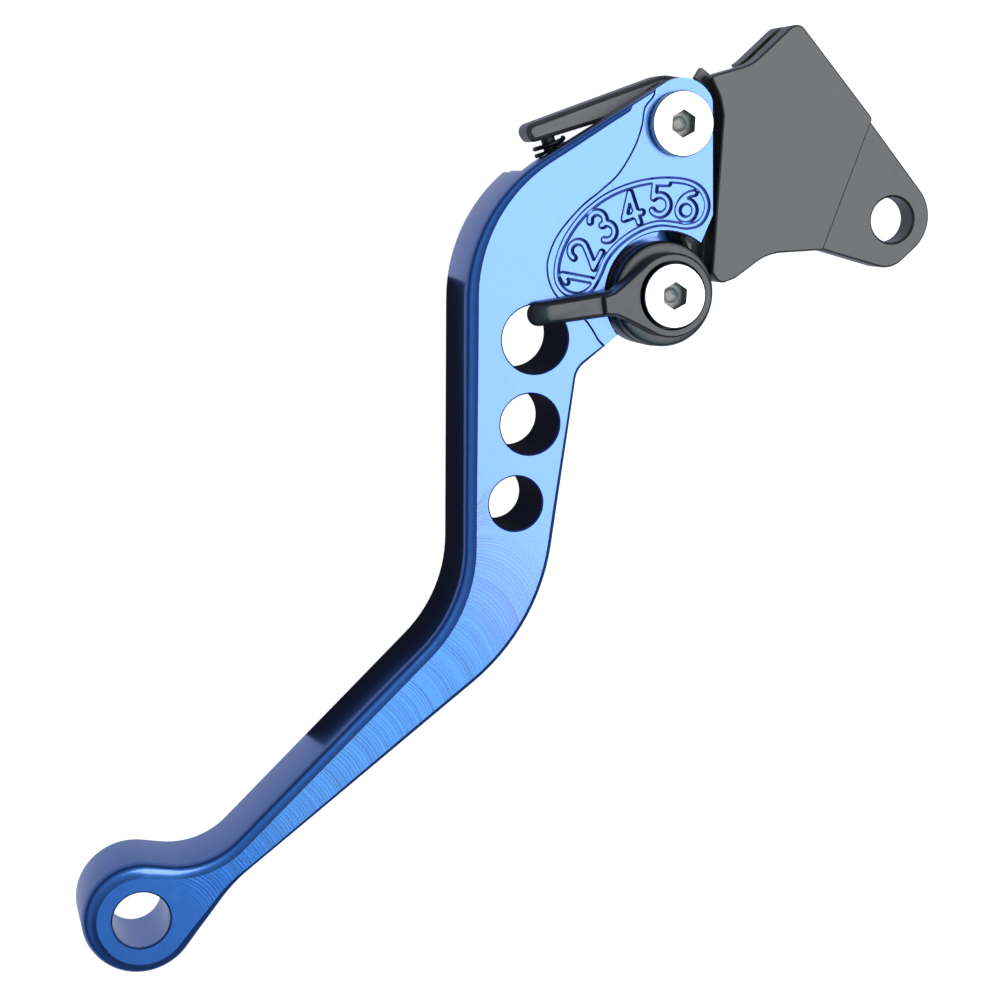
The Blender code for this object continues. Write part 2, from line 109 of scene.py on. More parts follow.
# Blade: x, y, rounding and width of the eased top edge at each corner, counter-clockwise; a
# fifth number is the width where the rounding ends
BLADE = [
    (-12.9, 45.3, 5.9, 0.25), (-25.4, 47.49, 0, 0.3), (-26.3, 47.65, 0, 0.9),
    (-58.3, 53.2, 28.0, 1.2, 2.1), (-102.6, 2.0, 24.0, 2.0), (-164.2, -1.5, 13.0, 1.9, 2.1),
    (-173.4, 9.9, 9.6, 2.3), (-187.6, 9.9, 9.6, 2.3), (-187.6, -11.8, 9.6, 2.2, 1.6),
    (-162.5, -6.2, 25.0, 1.1, 0.6), (-95.3, -10.2, 36.0, 0.85), (-61.4, 19.6, 4.0, 0.6),
    (-49.9, 19.2, 0.5, 0.15), (-49.9, 10.4, 8.1, 0.3), (-32.7, 10.4, 8.4, 0.3),
    (-32.7, 20.4, 0.8, 0.15), (-26.0, 23.6, 1.0, 0.25), (-13.6, 38.8, 3.0, 0.25),
]
# Slot: its wall runs round the cam's room between the two directions given in degrees
SLOT_START = [(-48.6, 54.5, 0), (-44.8, 48.0, 1.0), (-31.0, 42.4, 3.0), (-33.9, 27.1, 0)]
SLOT_ROUND = (50.0, 270.0)
SLOT_END = [(-41.3, 4.0, 0), (0.0, 4.0, 0), (0.0, 54.5, 0)]
CHEEK_RELIEF = [
    (-48.2, 54.0, 0), (-46.9, 50.9, 0), (-45.0, 48.9, 1.0), (-24.5, 45.6, 0), (-18.0, 54.0, 0),
]
BLADE_LOW_EDGE = 0.3                 # width of the blade's bottom edge
SHOULDER_DEPTH = 0.8                 # depth of the shouldered top edge, in its widths
EYE_HOLE, EYE_EDGE = 4.8, 0.3
LIGHTENING_HOLES = (((-63.7, 28.6), 5.8), ((-73.7, 18.2), 5.2), ((-84.4, 9.5), 4.7))
LIGHTENING_EDGE = 0.25
SCREW_BORE = 3.3
HEAD_RADIUS = 5.5
HEX_ACROSS_FLATS = 4.15
HEX_TURN = 47.0                      # direction of a corner of both sockets
HEAD_GAP = 0.22                      # between the pivot screw's head and its sink
HEAD_SINK, HEAD_SINK_EDGE = 1.4, 0.12
NUT_SINK = 1.2
NUT_POCKET, NUT_POCKET_EDGE = 6.1, 0.2
DIAL_POCKET, DIAL_POCKET_EDGE = 10.7, 0.6
CAM_POCKET = 9.8
ADJUSTER_HOLE_DEPTH = 1.0            # how far under the slot's top the adjuster's hole starts

# Numbered field: the blade is lower on its inner side, with engraved border and digits
FIELD_FLOOR = FACE_TOP - 0.37
STEP_LINE = [
    (-19.5, 52.0), (-21.0, 46.8), (-24.1, 45.8), (-26.5, 43.8), (-29.8, 41.9), (-34.6, 40.4),
    (-38.9, 40.3), (-43.0, 40.5), (-47.6, 40.0), (-50.3, 39.3), (-52.7, 38.1), (-54.5, 36.6),
    (-55.9, 34.2), (-56.4, 31.5), (-56.0, 28.2), (-55.2, 25.3), (-55.3, 23.0), (-55.6, 20.9),
    (-55.5, 18.0), (-56.5, 13.0),
]
STEP_OUTSIDE = [(-40.0, 4.0), (-5.0, 6.0), (-4.0, 52.0)]
FIELD_ROOM = [(-62.0, 1.0), (-1.0, 1.0), (-1.0, 56.0), (-62.0, 56.0)]
STEP_WALL = 0.50                     # width of the step's slope
FIELD_RISE = 0.05                    # the field's cutter ends this far above the face
FIELD_CENTRE = (-42.1, 19.9)
BORDER_LINE = [
    (-27.1, 24.5), (-25.5, 25.8), (-24.9, 28.2), (-25.9, 30.8), (-28.7, 33.7), (-32.2, 36.1),
    (-35.7, 37.7), (-38.9, 38.6), (-41.9, 38.9), (-44.5, 38.8), (-47.4, 38.2), (-50.0, 37.2),
    (-52.5, 35.6), (-54.3, 33.4), (-54.4, 30.9), (-52.9, 29.0), (-50.5, 28.5), (-47.9, 29.4),
    (-45.6, 30.5), (-43.0, 31.0), (-40.0, 30.9), (-36.9, 30.2), (-34.2, 28.8), (-32.3, 26.9),
    (-30.8, 25.2), (-28.9, 24.2),
]
BORDER_GROOVE = 0.62                 # half the width of an engraved line
DIGIT_GROOVE = 0.72
GROOVE_DEPTH = 0.50
GROOVE_PROFILE = ((1.0, 0.0), (0.32, 1.0))
DIGIT_SIZE = 0.89
DIGIT_PLACES = ((-51.4, 31.5), (-47.7, 33.8), (-42.3, 35.2),
                (-36.65, 34.05), (-31.5, 31.9), (-28.2, 27.9))
# Rings round the field's centre between which lie the border and the digits, and within which their grooves'
# walls get painted shade
ENGRAVED_FROM, ENGRAVED_TO = (10.8, 11.2), (20.6, 20.2)
MARK_PITCH = 0.58                    # spacing of the milling marks on the blade's lower half

# Adapter
PLATE = [
    (-14.2, 5.4, 0.6), (7.2, 17.0, 1.0), (6.8, 39.0, 2.0), (-4.4, 38.7, 8.0), (-11.6, 42.0, 0.5),
    (-12.5, 38.3, 2.5), (-13.9, 35.6, 2.5), (-32.5, 16.1, 0.8), (-32.6, 13.6, 1.5),
    (-29.8, 12.5, 4.0), (-22.5, 11.8, 9.0),
]
GAP_CHANNEL = [
    (-12.4, 41.2, 0.5), (-12.9, 38.2, 2.0), (-14.3, 35.5, 2.0), (-32.0, 17.1, 0.3),
    (-33.6, 18.6, 0.3), (-27.0, 25.5, 0.5), (-16.6, 38.2, 2.0), (-15.2, 41.6, 0.5),
]
CHANNEL_FLOOR = -1.8
PLATE_RELIEF = [
    (-4.2, 44.0, 0), (-13.5, 44.0, 0), (-13.5, 36.5, 0), (-8.5, 33.0, 1.5), (-4.2, 33.0, 1.5),
]
TONGUE = [
    (-37.5, 14.7, 0.9), (-31.8, 14.5, 1.0), (-25.0, 13.0, 0.9), (-9.5, 30.0, 0.9), (-9.5, 37.5, 0.9),
    (-12.7, 42.4, 2.0), (-16.6, 46.7, 5.0), (-41.5, 56.2, 1.45), (-41.9, 53.0, 1.1),
    (-28.2, 46.9, 2.0), (-28.2, 37.0, 5.0), (-33.2, 19.05, 1.0),
]
NUB = [(-10.0, 40.8, 0), (-10.5, 43.2, 0.12), (-12.5, 42.6, 0), (-12.2, 39.8, 0)]
TAB = [
    (-14.1, 5.55, 0), (-5.7, -6.9, 5.0), (7.5, -6.9, 7.3), (7.5, 19.0, 1.0), (-10.0, 19.0, 0),
]
CABLE_SLOT = [(-6, 31, 0), (10, 31, 0), (10, 42, 0), (-6, 42, 0)]
CABLE_SLOT_HALF = 1.2
PERCH_BORE = 4.0
NIPPLE = ((1.6, 31.4), 4.2, 2.2)     # place, radius and ceiling of the cable nipple's pocket
ADAPTER_HOLE_EDGE = 0.4
BOSS_RADIUS = 7.4
BOSS_DEPTH, BOSS_RISE = 0.6, 0.2     # of the spot faces under the tongue's top and over it
BUSH_BORE, BUSH_SIDES = 5.2, 90
PLATE_EDGES = (0.35, 0.32)           # bottom and top edge widths
TONGUE_EDGES = (0.4, 0.75)
TAB_EDGES = (0.35, 0.35)
NUB_HEIGHT = (-1.6, -0.1)            # from the tongue's top

# Dial
DIAL_RADIUS = 9.0
DIAL_EDGE = ((0.7, 0.0), (0.25, 0.2), (0.0, 0.7))    # in from the rim and down from the top
DIAL_GAP = 0.2                       # between the slot's top and the dial
HUB_RADIUS = 7.2
HUB_TOP = levels_of("adjuster_dial")[1]
HUB_COUNTERBORE = 5.95
HUB_EDGE = 0.35
HEAD_ROOM = 0.1                      # the counterbore's floor over the blade's face
HUB_OPENING = 52.0                   # the hub is round up to this many degrees from the pointer
HUB_TAIL = ((8.3, 3.1), (10.2, 1.95), (12.3, 1.5))   # along the pointer and across it
POINTER_ANGLE = 146.7
POINTER_ROOT = 6.0
# Pointer: end, half width there and at the root, corner rounding and level of each ring, top first
POINTER_RINGS = (
    (21.9, 1.15, 1.5, 0.6, 7.6), (22.3, 1.42, 1.75, 0.9, 7.48), (23.4, 1.75, 2.05, 1.4, 7.1),
    (24.6, 1.98, 2.2, 1.8, 6.5), (25.1, 2.05, 2.28, 1.95, 5.9), (25.2, 2.05, 2.3, 2.0, 5.4),
)
POINTER_STEPS = 12
TIP_RELIEF = (22.6, 27.6, 5.0)       # start, end and half width of the room for the pivot screw
TIP_RELIEF_TOP = 5.6
CAM_BORE = 4.4

# Return spring
SPRING_SEAT = (-38.7, 51.5)
SPRING_DIRECTION = (-0.400, -0.9165)
SPRING_TURNS = 7.5
SPRING_RANGE = (0.75, 9.6)
SPRING_RADIUS = 2.6
SPRING_WIRE = 0.38
SPRING_CLOSED = (0.8, 0.09)          # turns of each closed end and their share of the rise
SPRING_STEPS, WIRE_SIDES = 40, 14
SPRING_POCKET = (3.9, 1.0, 10.4)     # radius, start and end
PIN_HOLE = (1.5, -1.9, 1.0)

# Screws and nuts
HEAD_EDGE, END_EDGE = 0.15, 0.5
SHANK, THREAD_ROOT = 3.0, 2.62
THREAD_START, THREAD_END, THREAD_PITCH = 5.5, 0.9, 1.0     # levels over the screw's end
SOCKET_DEPTH = 2.2
POINT_RADIUS, POINT_DEPTHS = 1.7, (2.0, 3.0)
NUT_ACROSS_FLATS, NUT_BORE_EDGE = 10.0, 0.3
NUT_CORNERS = ((-0.1, 0.0), (0.9, 0.55))             # out from the flats and in from the face
TURNING_PITCH = 0.12                 # spacing of the turning rings on the heads
STAINLESS = (0.66, 0.62, 0.57)

# Camera
CAMERA_PLACE = (-121.33, 114.85, 327.48)
CAMERA_RIGHT = (0.73175, -0.62204, 0.27857)
CAMERA_UP = (0.67365, 0.72223, -0.15682)
CAMERA_BACK = (-0.10365, 0.30241, 0.94753)

# Floor and the dark card under it, in metres below the object, and the card's outline
FLOOR_REACH, FLOOR_GAP, CARD_GAP = 40.0, 0.0002, 0.0015
CARD = [(-138, -6), (-96, -14), (-54, 14), (-54, 44), (-66, 44), (-75, 52), (-120, 14), (-138, 12)]

# The studio's light all round: share of the way from straight down to straight up, and colour
SKY = (
    (0.0, (0.42, 0.46, 0.60)), (0.40, (0.32, 0.36, 0.50)), (0.52, (0.05, 0.07, 0.12)),
    (0.72, (0.06, 0.10, 0.18)), (0.88, (0.19, 0.34, 0.51)), (1.0, (0.20, 0.37, 0.56)),
)

# Meshes
WELD = 0.001                         # points of a finished shape closer than this are one
DRAFT_WELD = 0.0005                  # the same for a new shape
SHORTEST = 0.03                      # shortest step between two points of a rounding
LEVEL = 0.9999                       # a face whose normal rises more than this is shaded flat
ROUND_STEP = 3.5                     # largest turn in degrees between two points of a rounding
DIGIT_STEP = 9.0                     # the same for a digit's stroke
SIDES = 96
# Edge profiles: shares of the edge's width and depth, from the face to the wall
SHOULDERED = ((1.0, 0.0), (0.80, 0.17), (0.62, 0.30), (0.47, 0.37), (0.33, 0.44), (0.20, 0.58),
              (0.08, 0.82), (0.0, 1.15))
EASED = ((1.0, 0.0), (0.36, 0.36), (0.0, 1.0))


# ---- outlines ----------------------------------------------------------------------------

def rounded(corners):
    """Points of a closed outline with rounded corners, and each corner's fourth value, if any."""
    points, values = [], []
    for i, corner_row in enumerate(corners):
        corner, radius = Vector(corner_row[:2]), corner_row[2]
        value = corner_row[3] if len(corner_row) > 3 else 0
        last_value = corner_row[4] if len(corner_row) > 4 else value
        before = (Vector(corners[i - 1][:2]) - corner).normalized()
        after = (Vector(corners[(i + 1) % len(corners)][:2]) - corner).normalized()
        if radius == 0:
            points.append(corner)
            values.append(value)
            continue
        half = before.angle(after) / 2
        centre = corner + (before + after).normalized() * radius / sin(half)
        start = corner + before * radius / tan(half) - centre
        turn = (pi - 2 * half) * (1 if before.cross(after) < 0 else -1)
        count = max(3, int(abs(turn) / radians(ROUND_STEP)) + 1)
        for k in range(count + 1):
            point = centre + Matrix.Rotation(turn * k / count, 2) @ start
            if not points or (point - points[-1]).length > SHORTEST:
                points.append(point)
                values.append(value + (last_value - value) * k / count)
    return points, values


def refined(points, values, step=3.0):
    """The same closed outline with its long straights divided and the values eased between."""
    new_points, new_values = [], []
    for i, point in enumerate(points):
        following = points[(i + 1) % len(points)]
        count = max(1, int((following - point).length / step))
        first, last = values[i], values[(i + 1) % len(points)]
        for k in range(count):
            share = k / count
            new_points.append(point.lerp(following, share))
            new_values.append(first + (last - first) * share * share * (3 - 2 * share))
    return new_points, new_values


def inset(points, distances):
    """A closed counter-clockwise outline moved inwards by a distance at each point."""
    moved = []
    for i, point in enumerate(points):
        before = (point - points[i - 1]).normalized()
        after = (points[(i + 1) % len(points)] - point).normalized()
        first, second = Vector((-before.y, before.x)), Vector((-after.y, after.x))
        normal = (first + second) / max(0.5, 1 + first.dot(second))
        moved.append(point + normal * distances[i])
    return moved


def circle(centre, radius, sides, turn=0.0):
    """Corners of a regular outline, the first in a direction in degrees."""
    angles = [2 * pi * k / sides + radians(turn) for k in range(sides)]
    return [Vector((centre[0] + radius * cos(a), centre[1] + radius * sin(a))) for a in angles]


def arc(centre, radius, first, last, step=DIGIT_STEP):
    """Points along an arc between two directions in degrees."""
    count = max(2, int(abs(last - first) / step))
    angles = [radians(first + (last - first) * k / count) for k in range(count + 1)]
    return [Vector((centre[0] + radius * cos(a), centre[1] + radius * sin(a))) for a in angles]


def flowing(points, steps=6, closed=False):
    """A smooth line through the given points."""
    rows = [Vector(p) for p in points]
    if closed:
        rows = rows[-1:] + rows + rows[:2]
    else:
        rows = [rows[0] * 2 - rows[1]] + rows + [rows[-1] * 2 - rows[-2]]
    line = []
    for i in range(1, len(rows) - 2):
        a, b, c, d = rows[i - 1:i + 3]
        for k in range(steps):
            t = k / steps
            line.append(0.5 * (2 * b + (c - a) * t + (2 * a - 5 * b + 4 * c - d) * t * t
                               + (3 * b - a - 3 * c + d) * t ** 3))
    return line if closed else line + [rows[-2]]


def capsule_round(line, radius):
    """Outline of everything within a distance of a short smooth line, with round ends."""
    outline = []
    for row in (line, line[::-1]):
        for i, point in enumerate(row):
            ahead = row[min(i + 1, len(row) - 1)] - row[max(i - 1, 0)]
            side = Vector((ahead.y, -ahead.x)).normalized()
            outline.append(point + side * radius)
        end = row[-1]
        out = (row[-1] - row[-2]).normalized()
        start = atan2(-out.x, out.y)
        for k in range(1, 8):
            angle = start + pi * k / 8
            outline.append(end + Vector((cos(angle), sin(angle))) * radius)
    return outline


# ---- meshes ------------------------------------------------------------------------------

def object_from(name, vertices, faces):
    """An object from points in millimetres, welded, facing out."""
    mesh = bpy.data.meshes.new(name)
    mesh.from_pydata([(x * MM, y * MM, z * MM) for x, y, z in vertices], [], faces)
    shape = bmesh.new()
    shape.from_mesh(mesh)
    bmesh.ops.remove_doubles(shape, verts=shape.verts, dist=DRAFT_WELD * MM)
    bmesh.ops.recalc_face_normals(shape, faces=shape.faces)
    if shape.calc_volume(signed=True) < 0:
        bmesh.ops.reverse_faces(shape, faces=shape.faces)
    shape.to_mesh(mesh)
    shape.free()
    made = bpy.data.objects.new(name, mesh)
    bpy.context.scene.collection.objects.link(made)
    return made


def within(points, outline):
    """Which rows of an array of points lie inside a closed outline."""
    x, y = points[:, 0], points[:, 1]
    inside = np.zeros(len(points), bool)
    corners = np.array([tuple(p) for p in outline])
    for (x1, y1), (x2, y2) in zip(corners, np.roll(corners, -1, axis=0)):
        crosses = (y1 > y) != (y2 > y)
        if y1 != y2:
            inside ^= crosses & (x < (x2 - x1) * (y - y1) / (y2 - y1) + x1)
    return inside


def filled(outline, details, height):
    """Vertices and triangles over an outline, with extra lines in it and a height at each point."""
    points, edges = [], []
    for loop in [outline, *details]:
        start, count = len(points), len(loop)
        points += [Vector(p) for p in loop]
        edges += [(start + k, start + (k + 1) % count) for k in range(count)]
    found, _, faces, *_ = delaunay_2d_cdt(points, edges, [], 0, 0.0001)
    flat = np.array([tuple(p) for p in found])
    centres = np.array([flat[list(f)].mean(axis=0) for f in faces])
    kept = within(centres, outline)
    levels = height(flat)
    vertices = [(x, y, z) for (x, y), z in zip(flat, levels)]
    return vertices, [tuple(f) for f, good in zip(faces, kept) if good]


def loft(name, rings, low_height=None, details=()):
    """A solid between rings with the same number of points, the first on top, with flat ends."""
    vertices, faces = [], []
    count = len(rings[0])
    for ring in rings:
        vertices += ring
    for level in range(len(rings) - 1):
        a, b = level * count, (level + 1) * count
        for k in range(count):
            n = (k + 1) % count
            faces.append((a + k, b + k, b + n, a + n))
    for ring, height, extra in ((rings[0], None, ()), (rings[-1], low_height, details)):
        level = ring[0][2]
        flat_height = height or (lambda points, level=level: np.full(len(points), level))
        more, triangles = filled([Vector(v[:2]) for v in ring], extra, flat_height)
        start = len(vertices)
        vertices += more
        faces += [tuple(start + i for i in f) for f in triangles]
    return object_from(name, vertices, faces)


def slab(name, outline, bottom, top, edges=(0, 0), widths=None, profile=EASED, depth=1.0):
    """A plate with eased edges. edges are the bottom and top edge widths; widths vary the top's."""
    low_width, high_width = edges
    widths = widths or [high_width] * len(outline)
    steps = profile if max(widths) > 0 else profile[:1]
    rings = []
    for across, down in steps:
        moved = inset(outline, [w * across for w in widths])
        rings.append([(p.x, p.y, top - w * down * depth) for p, w in zip(moved, widths)])
    if low_width:
        rings.append([(p.x, p.y, bottom + low_width) for p in outline])
    moved = inset(outline, [low_width] * len(outline))
    rings.append([(p.x, p.y, bottom) for p in moved])
    return loft(name, rings)


def turned(name, centre, profile, sides=SIDES):
    """A solid turned about a vertical axis; the profile starts and ends on the axis or closes."""
    closed = profile[0][0] > 0
    vertices, faces = [], []
    count = len(profile)
    for k in range(sides):
        angle = 2 * pi * k / sides
        vertices += [(centre[0] + r * cos(angle), centre[1] + r * sin(angle), z) for r, z in profile]
    for k in range(sides):
        a, b = k * count, (k + 1) % sides * count
        for i in range(count if closed else count - 1):
            n = (i + 1) % count
            corners = [a + i, b + i, b + n, a + n]
            if profile[i][0] == 0:
                corners = [a + i, b + n, a + n]
            elif profile[n][0] == 0:
                corners = [a + i, b + i, a + n]
            faces.append(tuple(corners))
    return object_from(name, vertices, faces)


def drill(name, centre, radius, low, high, low_edge=0.0, high_edge=0.0, sides=SIDES):
    """A cutter for a round hole between two levels, with broken edges where it comes out."""
    above, below = high + CLEAR, low - CLEAR
    profile = [(0, high), (radius, high)]
    if high_edge:
        profile = [(0, above), (radius + high_edge + CLEAR, above), (radius, high - high_edge)]
    if low_edge:
        profile += [(radius, low + low_edge), (radius + low_edge + CLEAR, below), (0, below)]
    else:
        profile += [(radius, low), (0, low)]
    return turned(name, centre, profile, sides)


def prism(name, outline, bottom, top):
    """A plain cutter with a flat outline."""
    return slab(name, outline, bottom, top)


def weld(mesh):
    """Join points that are as good as the same and drop faces with no area."""
    shape = bmesh.new()
    shape.from_mesh(mesh)
    bmesh.ops.remove_doubles(shape, verts=shape.verts, dist=WELD * MM)
    bmesh.ops.dissolve_degenerate(shape, dist=WELD * MM, edges=shape.edges)
    shape.to_mesh(mesh)
    shape.free()


def combine(target, tool, operation='DIFFERENCE'):
    """Cut a piece with a shape, join the shape to it or keep what both share; the shape goes."""
    boolean = target.modifiers.new("Join", 'BOOLEAN')
    boolean.operation = operation
    boolean.solver = 'EXACT'
    boolean.object = tool
    evaluated = target.evaluated_get(bpy.context.evaluated_depsgraph_get())
    mesh = bpy.data.meshes.new_from_object(evaluated)
    target.modifiers.clear()
    weld(mesh)
    target.data = mesh
    bpy.data.objects.remove(tool)
    return target


def finished(piece, name, body, slot, surface, *nodes, sharp=24):
    """Clean a piece's mesh and put it on its body in place of CAD nodes."""
    weld(piece.data)
    piece.name = name
    piece.data.materials.clear()
    piece.data.materials.append(surface)
    piece.data.shade_smooth()
    for face in piece.data.polygons:
        face.use_smooth = abs(face.normal.z) < LEVEL
    piece.data.set_sharp_from_angle(angle=radians(sharp))
    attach(piece, body)
    if nodes:
        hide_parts(*nodes)
    return piece


def around(piece, centre, level=0.0):
    """Put a piece's own origin on its axis, so that its material turns about that axis."""
    place = Vector((*centre, level)) * MM
    piece.data.transform(Matrix.Translation(-place))
    piece.location = place
    return piece


# ---- blade -------------------------------------------------------------------------------

def digit_lines():
    """The strokes of the digits 1 to 6, in units of about a millimetre, each 6 tall."""
    line = lambda *points: [Vector(p) for p in points]
    return [
        [line((0.1, -3.0), (0.1, 0.0), (0.1, 3.0)), line((0.1, 3.0), (-0.9, 2.2), (-1.1, 1.9))],
        [arc((-0.1, 1.35), 1.65, 175, -38), line((1.2, 0.35), (-0.1, -1.3), (-1.6, -3.0)),
         line((-1.6, -3.0), (0.0, -3.0), (1.7, -3.0))],
        [arc((-0.1, 1.5), 1.5, 150, -80), arc((-0.1, -1.4), 1.6, 88, -150)],
        [line((0.8, -3.0), (0.8, 0.0), (0.8, 3.0)), line((0.8, 3.0), (-0.6, 0.8), (-1.9, -1.3)),
         line((-1.9, -1.3), (0.0, -1.3), (1.9, -1.3))],
        [line((1.5, 3.0), (0.2, 3.0), (-1.2, 3.0)), line((-1.2, 3.0), (-1.3, 1.6), (-1.4, 0.4)),
         arc((-0.1, -1.15), 1.85, 135, -145)],
        [arc((0.0, -1.25), 1.75, 0, 352), arc((2.0, -1.0), 3.75, 182, 114)],
    ]


def placed_digits():
    """The digits' strokes on the numbered field, their feet towards its centre."""
    strokes = []
    for lines, place in zip(digit_lines(), DIGIT_PLACES):
        centre = Vector(place)
        out = centre - Vector(FIELD_CENTRE)
        turn = Matrix.Rotation(atan2(out.y, out.x) - pi / 2, 2)
        strokes += [[centre + turn @ (p * DIGIT_SIZE) for p in row] for row in lines]
    return strokes


def distance_to(points, lines):
    """Distance of each point from the nearest of some open lines."""
    best = np.full(len(points), 1e9)
    for line in lines:
        rows = np.array([tuple(p) for p in line])
        for a, b in zip(rows[:-1], rows[1:]):
            along = b - a
            share = np.clip(((points - a) @ along) / (along @ along), 0, 1)
            best = np.minimum(best, np.linalg.norm(points - a - share[:, None] * along, axis=1))
    return best


def groove(distance, half):
    """Depth of a groove at a distance from its centre line."""
    places = [half * across for across, _ in GROOVE_PROFILE][::-1]
    depths = [GROOVE_DEPTH * down for _, down in GROOVE_PROFILE][::-1]
    return np.interp(distance, places, depths)


def field_cutter():
    """What is milled off the face round the pivot and the dial, engraving included."""
    border, digits = flowing(BORDER_LINE, 5, closed=True), placed_digits()
    region = flowing(STEP_LINE) + [Vector(p) for p in STEP_OUTSIDE]

    def height(points):
        inwards = distance_to(points, [region + region[:1]]) * np.where(within(points, region), 1, -1)
        depth = np.maximum(groove(distance_to(points, [border + border[:1]]), BORDER_GROOVE),
                           groove(distance_to(points, digits), DIGIT_GROOVE))
        share = np.clip(inwards / STEP_WALL, 0, 1)
        return (1 - share) * (FACE_TOP + FIELD_RISE) + share * (FIELD_FLOOR - depth)

    details = [region, inset(region, [STEP_WALL] * len(region))]
    for across, _ in GROOVE_PROFILE:
        for sign in (-1, 1):
            details.append(inset(border, [sign * across * BORDER_GROOVE] * len(border)))
        details += [capsule_round(row, across * DIGIT_GROOVE) for row in digits]
    room = [Vector(p) for p in FIELD_ROOM]
    top = [(p.x, p.y, FACE_TOP + CLEAR) for p in room]
    bottom = [(p.x, p.y, FACE_TOP + FIELD_RISE) for p in room]
    return loft("field", [top, bottom], height, details)


def spring_cylinder(name, radius, start, end):
    """A round bar on the spring's axis."""
    made = turned(name, (0, 0), [(0, end - start), (radius, end - start), (radius, 0), (0, 0)], 48)
    direction = Vector((*SPRING_DIRECTION, 0))
    turn = direction.to_track_quat('Z', 'X').to_matrix().to_4x4()
    place = Vector((SPRING_SEAT[0] + SPRING_DIRECTION[0] * start,
                    SPRING_SEAT[1] + SPRING_DIRECTION[1] * start, MIDDLE)) * MM
    made.data.transform(Matrix.Translation(place) @ turn)
    return made


def slot_outline():
    """The slot for the adapter's tongue, in one outline with the cam's room."""
    room = arc(ADJUSTER, CAM_POCKET, *SLOT_ROUND, ROUND_STEP)
    return rounded([*SLOT_START, *((p.x, p.y, 0) for p in room), *SLOT_END])[0]


def blade(surface):
    """The lever blade, cut from one slab."""
    outline, widths = refined(*rounded(BLADE))
    low, high = FACE_BOTTOM, FACE_TOP
    made = slab("blade_draft", outline, low, high, (BLADE_LOW_EDGE, 0), widths, SHOULDERED, SHOULDER_DEPTH)
    nut_sink = (NUT_POCKET, low, low + NUT_SINK, NUT_POCKET_EDGE)
    cutters = [
        prism("slot", slot_outline(), SLOT_BOTTOM, SLOT_TOP),
        drill("dial_room", ADJUSTER, DIAL_POCKET, SLOT_TOP - OVERLAP, high, 0, DIAL_POCKET_EDGE),
        prism("cheek_relief", rounded(CHEEK_RELIEF)[0], low - CLEAR, SLOT_BOTTOM + OVERLAP),
        spring_cylinder("spring_pocket", *SPRING_POCKET),
        drill("eye", EYE, EYE_HOLE, low, high, EYE_EDGE, EYE_EDGE),
        drill("pivot_hole", PIVOT, SCREW_BORE, low - CLEAR, high + CLEAR),
        drill("pivot_sink", PIVOT, HEAD_RADIUS + HEAD_GAP, high - HEAD_SINK, high, 0, HEAD_SINK_EDGE),
        drill("adjuster_hole", ADJUSTER, SCREW_BORE, low - CLEAR, SLOT_TOP - ADJUSTER_HOLE_DEPTH),
        drill("pivot_nut_sink", PIVOT, *nut_sink),
        drill("adjuster_nut_sink", ADJUSTER, *nut_sink),
    ]
    cutters += [drill("hole", place, radius, low, high, LIGHTENING_EDGE, LIGHTENING_EDGE)
                for place, radius in LIGHTENING_HOLES]
    for cutter in cutters + [field_cutter()]:
        combine(made, cutter)
    return finished(made, "blade_body", "blade", "blade_blue", surface, "lever_blade")


# ---- adapter -----------------------------------------------------------------------------

def adapter(surface):
    """The perch adapter: plate, tongue, nub and tab joined, then bored and slotted."""
    made = slab("adapter_draft", rounded(PLATE)[0], ADAPTER_BOTTOM, FACE_TOP, PLATE_EDGES)
    combine(made, prism("relief", rounded(PLATE_RELIEF)[0], ADAPTER_BOTTOM - CLEAR, TONGUE_TOP - OVERLAP))
    for shape in [
        slab("tongue", rounded(TONGUE)[0], TONGUE_BOTTOM, TONGUE_TOP, TONGUE_EDGES),
        prism("nub", rounded(NUB)[0], TONGUE_TOP + NUB_HEIGHT[0], TONGUE_TOP + NUB_HEIGHT[1]),
        slab("tab", rounded(TAB)[0], -TAB_HALF, TAB_HALF, TAB_EDGES),
    ]:
        combine(made, shape, 'UNION')
    place, radius, ceiling = NIPPLE
    for cutter in [
        drill("bore", (0, 0), PERCH_BORE, -TAB_HALF, TAB_HALF, ADAPTER_HOLE_EDGE, ADAPTER_HOLE_EDGE),
        drill("bush_bore", PIVOT, BUSH_BORE, ADAPTER_BOTTOM - CLEAR, FACE_TOP, sides=BUSH_SIDES),
        drill("spot_top", PIVOT, BOSS_RADIUS, TONGUE_TOP - BOSS_DEPTH, TONGUE_TOP + BOSS_RISE),
        drill("spot_bottom", PIVOT, BOSS_RADIUS, ADAPTER_BOTTOM - CLEAR, TONGUE_BOTTOM + BOSS_DEPTH),
        prism("gap_channel", rounded(GAP_CHANNEL)[0], CHANNEL_FLOOR, FACE_TOP),
        drill("nipple", place, radius, ADAPTER_BOTTOM, ceiling, ADAPTER_HOLE_EDGE),
        prism("cable_slot", rounded(CABLE_SLOT)[0], -CABLE_SLOT_HALF, CABLE_SLOT_HALF),
        spring_cylinder("pin_hole", *PIN_HOLE),
    ]:
        combine(made, cutter)
    return finished(made, "adapter_body", "adapter", "adapter_black", surface, "perch_adapter")


# ---- dial --------------------------------------------------------------------------------

def beside_pointer(places):
    """Points given along and across the pointer from the dial's axis."""
    out = Vector((cos(radians(POINTER_ANGLE)), sin(radians(POINTER_ANGLE))))
    across = Vector((-out.y, out.x))
    return [Vector(ADJUSTER) + out * along + across * side for along, side in places]


def hub_outline():
    """Drop-shaped outline of the hub, its tail on the pointer."""
    first, last = POINTER_ANGLE + HUB_OPENING, POINTER_ANGLE + 360 - HUB_OPENING
    tail = [(along, -side) for along, side in HUB_TAIL] + list(HUB_TAIL[::-1])
    return arc(ADJUSTER, HUB_RADIUS, first, last, ROUND_STEP) + beside_pointer(tail)


